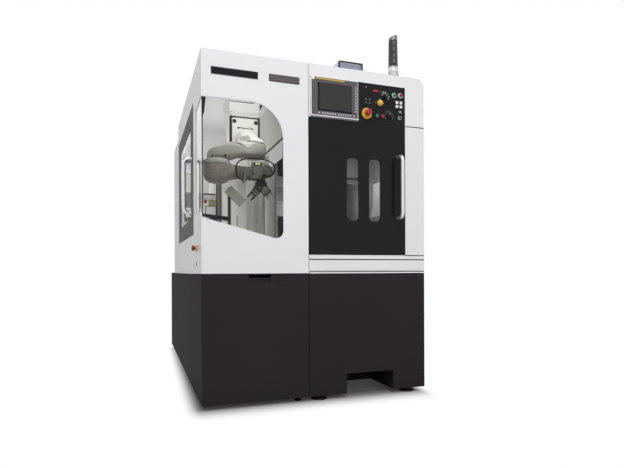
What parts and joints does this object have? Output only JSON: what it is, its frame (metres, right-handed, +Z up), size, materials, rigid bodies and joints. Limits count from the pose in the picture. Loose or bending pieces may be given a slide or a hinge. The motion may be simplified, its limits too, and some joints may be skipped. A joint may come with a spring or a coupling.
{
  "type": "vertical grinding machine",
  "caption": "Vertical grinding machine with a windowed robot loading cell beside it, on a dark base, with operator door, monitor, switch panel, drawer and signal tower.",
  "frame": {"origin": "on the floor under the middle of the whole machine", "axes": "+Z up; the operator's side with door, monitor and switches faces -Y; the robot cell is on the -X side; +Y runs back along the base"},
  "size_m": [1.376, 2.429, 2.1445],
  "materials": {
    "white_paint": "satin powder coat",
    "base_paint": "fine textured powder coat",
    "black_gloss": "gloss paint",
    "stainless": "brushed",
    "dark_steel": "dark brushed",
    "machine_iron": "painted casting",
    "handle_chrome": "polished",
    "clear_glass": "clear",
    "bezel_grey": "matt",
    "fitting_black": "matt",
    "signal_red": "gloss",
    "signal_green": "gloss",
    "button_white": "satin",
    "knob_yellow": "satin",
    "robot_white": "painted casting",
    "gripper_metal": "anodised",
    "cable_black": "matt",
    "abrasive": "gritty",
    "chuck_steel": "ground",
    "tower_plastic": "smoked",
    "roof_grey": "satin"
  },
  "bodies": {
    "frame": {"cell_base": "base_paint", "grinder_base": "base_paint", "levelling_feet": "dark_steel", "cell_front_panel": "white_paint", "cell_windows": "clear_glass", "cell_roof": "white_paint", "partition": "stainless", "rear_cabinet": "white_paint", "cell_floor": "stainless", "workpiece_stand": "white_paint", "robot_mount": "stainless", "robot_base": "robot_white", "grinder_front_frame": "white_paint", "grinder_cover": "white_paint", "monitor": "bezel_grey", "control_panel": "black_gloss", "panel_fittings": "fitting_black", "machine_column": "machine_iron", "signal_tower": "tower_plastic", "roof_unit": "roof_grey"},
    "operator_door": {"operator_door": "black_gloss", "door_windows": "clear_glass", "door_handle": "handle_chrome"},
    "side_door": {"side_door": "white_paint", "side_window": "clear_glass", "side_door_handle": "handle_chrome"},
    "cabinet_door": {"cabinet_door": "white_paint"},
    "main_switch": {"main_switch": "signal_red"},
    "base_drawer": {"base_drawer": "base_paint"},
    "drawer_lock": {"drawer_lock": "handle_chrome"},
    "hatch_door": {"hatch_door": "dark_steel"},
    "x_saddle": {"x_saddle": "machine_iron"},
    "wheel_head": {"wheel_head": "machine_iron"},
    "grinding_wheel": {"grinding_wheel": "abrasive"},
    "work_chuck": {"work_chuck": "chuck_steel"},
    "robot_shoulder": {"robot_shoulder": "robot_white"},
    "robot_upper_arm": {"robot_upper_arm": "robot_white"},
    "robot_elbow": {"robot_elbow": "robot_white"},
    "robot_forearm": {"robot_forearm": "robot_white", "wrist_cable": "cable_black"},
    "robot_wrist": {"robot_wrist": "robot_white"},
    "gripper_body": {"gripper_body": "gripper_metal"},
    "estop_button": {"estop_button": "signal_red"},
    "side_estop_button": {"side_estop_button": "signal_red"},
    "green_ring_button": {"green_ring_button": "signal_green"},
    "red_ring_button": {"red_ring_button": "signal_red"},
    "green_lamp_button": {"green_lamp_button": "signal_green"},
    "red_lamp_button": {"red_lamp_button": "signal_red"},
    "white_button_1": {"white_button_1": "button_white"},
    "white_button_2": {"white_button_2": "button_white"},
    "white_button_3": {"white_button_3": "button_white"},
    "white_button_4": {"white_button_4": "button_white"},
    "selector_knob": {"selector_knob": "knob_yellow"},
    "mode_dial": {"mode_dial": "fitting_black"},
    "override_dial": {"override_dial": "fitting_black"},
    "key_switch": {"key_switch": "handle_chrome"},
    "left_finger_outer": {"left_finger_outer": "gripper_metal"},
    "left_finger_inner": {"left_finger_inner": "gripper_metal"},
    "right_finger_outer": {"right_finger_outer": "gripper_metal"},
    "right_finger_inner": {"right_finger_inner": "gripper_metal"}
  },
  "joints": [
    {"name": "operator_door_hinge", "type": "hinge", "parent": "frame", "child": "operator_door", "pos_m": [-0.033, -1.1335, 1.1975], "axis": [0, 0, -1], "range_deg": [0, 105]},
    {"name": "side_door_hinge", "type": "hinge", "parent": "frame", "child": "side_door", "pos_m": [-0.621, 0.2925, 1.275], "axis": [0, 0, -1], "range_deg": [0, 105]},
    {"name": "cabinet_door_hinge", "type": "hinge", "parent": "frame", "child": "cabinet_door", "pos_m": [0.627, 0.7725, 1.24], "axis": [0, 0, -1], "range_deg": [0, 105]},
    {"name": "main_switch_turn", "type": "hinge", "parent": "cabinet_door", "child": "main_switch", "pos_m": [0.067, 0.7845, 1.313], "axis": [0, 1, 0], "range_deg": [0, 90]},
    {"name": "base_drawer_slide", "type": "slide", "parent": "frame", "child": "base_drawer", "axis": [0, -1, 0], "range_m": [0, 0.45]},
    {"name": "drawer_lock_turn", "type": "hinge", "parent": "base_drawer", "child": "drawer_lock", "pos_m": [-0.197, -1.1455, 0.67], "axis": [0, 1, 0], "range_deg": [0, 90]},
    {"name": "hatch_door_slide", "type": "slide", "parent": "frame", "child": "hatch_door", "axis": [0, -1, 0], "range_m": [0, 0.271]},
    {"name": "estop_push", "type": "slide", "parent": "frame", "child": "estop_button", "axis": [0, 1, 0], "range_m": [0, 0.006]},
    {"name": "side_estop_push", "type": "slide", "parent": "frame", "child": "side_estop_button", "axis": [1, 0, 0], "range_m": [0, 0.006]},
    {"name": "green_ring_button_push", "type": "slide", "parent": "frame", "child": "green_ring_button", "axis": [0, 1, 0], "range_m": [0, 0.004], "stiffness_N_per_m": 300, "springref_m": -0.002},
    {"name": "red_ring_button_push", "type": "slide", "parent": "frame", "child": "red_ring_button", "axis": [0, 1, 0], "range_m": [0, 0.004], "stiffness_N_per_m": 300, "springref_m": -0.002},
    {"name": "green_lamp_button_push", "type": "slide", "parent": "frame", "child": "green_lamp_button", "axis": [0, 1, 0], "range_m": [0, 0.004], "stiffness_N_per_m": 300, "springref_m": -0.002},
    {"name": "red_lamp_button_push", "type": "slide", "parent": "frame", "child": "red_lamp_button", "axis": [0, 1, 0], "range_m": [0, 0.004], "stiffness_N_per_m": 300, "springref_m": -0.002},
    {"name": "white_button_1_push", "type": "slide", "parent": "frame", "child": "white_button_1", "axis": [0, 1, 0], "range_m": [0, 0.004], "stiffness_N_per_m": 300, "springref_m": -0.002},
    {"name": "white_button_2_push", "type": "slide", "parent": "frame", "child": "white_button_2", "axis": [0, 1, 0], "range_m": [0, 0.004], "stiffness_N_per_m": 300, "springref_m": -0.002},
    {"name": "white_button_3_push", "type": "slide", "parent": "frame", "child": "white_button_3", "axis": [0, 1, 0], "range_m": [0, 0.004], "stiffness_N_per_m": 300, "springref_m": -0.002},
    {"name": "white_button_4_push", "type": "slide", "parent": "frame", "child": "white_button_4", "axis": [0, 1, 0], "range_m": [0, 0.004], "stiffness_N_per_m": 300, "springref_m": -0.002},
    {"name": "selector_knob_turn", "type": "hinge", "parent": "frame", "child": "selector_knob", "pos_m": [0.393, -1.1435, 1.702], "axis": [0, 1, 0], "range_deg": [-45, 45]},
    {"name": "mode_dial_turn", "type": "hinge", "parent": "frame", "child": "mode_dial", "pos_m": [0.429, -1.1435, 1.742], "axis": [0, 1, 0], "range_deg": [-60, 60]},
    {"name": "override_dial_turn", "type": "hinge", "parent": "frame", "child": "override_dial", "pos_m": [0.454, -1.1435, 1.633], "axis": [0, 1, 0], "range_deg": [-135, 135]},
    {"name": "key_switch_turn", "type": "hinge", "parent": "frame", "child": "key_switch", "pos_m": [0.522, -1.1435, 1.626], "axis": [0, 1, 0], "range_deg": [0, 75]},
    {"name": "cross_slide", "type": "slide", "parent": "frame", "child": "x_saddle", "axis": [1, 0, 0], "range_m": [-0.08, 0.08]},
    {"name": "wheel_head_slide", "type": "slide", "parent": "x_saddle", "child": "wheel_head", "axis": [0, 0, 1], "range_m": [-0.06, 0.08]},
    {"name": "wheel_spin", "type": "hinge", "parent": "wheel_head", "child": "grinding_wheel", "pos_m": [0.32, -0.6655, 1.155], "axis": [0, 0, 1], "continuous": true},
    {"name": "chuck_spin", "type": "hinge", "parent": "frame", "child": "work_chuck", "pos_m": [0.32, -0.6655, 1.025], "axis": [0, 0, 1], "continuous": true},
    {"name": "robot_axis_1", "type": "hinge", "parent": "frame", "child": "robot_shoulder", "pos_m": [-0.281, -0.6255, 1.58], "axis": [0, 1, 0], "range_deg": [-20, 2.5]},
    {"name": "robot_axis_2", "type": "hinge", "parent": "robot_shoulder", "child": "robot_upper_arm", "pos_m": [-0.258, -0.7155, 1.515], "axis": [0, 0, 1], "range_deg": [-30, 55]},
    {"name": "robot_axis_3", "type": "hinge", "parent": "robot_upper_arm", "child": "robot_elbow", "pos_m": [-0.489, -0.7405, 1.397], "axis": [0, 0, 1], "range_deg": [-50, 30]},
    {"name": "robot_axis_4", "type": "hinge", "parent": "robot_elbow", "child": "robot_forearm", "pos_m": [-0.389, -0.7405, 1.325], "axis": [1, 0, 0], "range_deg": [-8, 40]},
    {"name": "robot_axis_5", "type": "hinge", "parent": "robot_forearm", "child": "robot_wrist", "pos_m": [-0.221, -0.7405, 1.325], "axis": [0, 1, 0], "range_deg": [-25, 15]},
    {"name": "robot_axis_6", "type": "hinge", "parent": "robot_wrist", "child": "gripper_body", "pos_m": [-0.221, -0.7405, 1.283], "axis": [0, 0, -1], "range_deg": [-90, 90]},
    {"name": "left_finger_outer_slide", "type": "slide", "parent": "gripper_body", "child": "left_finger_outer", "axis": [0.766, 0, -0.6428], "range_m": [0, 0.007]},
    {"name": "left_finger_inner_slide", "type": "slide", "parent": "gripper_body", "child": "left_finger_inner", "axis": [-0.766, 0, 0.6428], "range_m": [0, 0.007]},
    {"name": "right_finger_outer_slide", "type": "slide", "parent": "gripper_body", "child": "right_finger_outer", "axis": [-0.766, 0, -0.6428], "range_m": [0, 0.007]},
    {"name": "right_finger_inner_slide", "type": "slide", "parent": "gripper_body", "child": "right_finger_inner", "axis": [0.766, 0, 0.6428], "range_m": [0, 0.007]}
  ],
  "couplings": [
    {"joint": "left_finger_inner_slide", "follows": "left_finger_outer_slide", "ratio": 1},
    {"joint": "right_finger_inner_slide", "follows": "right_finger_outer_slide", "ratio": 1}
  ]
}
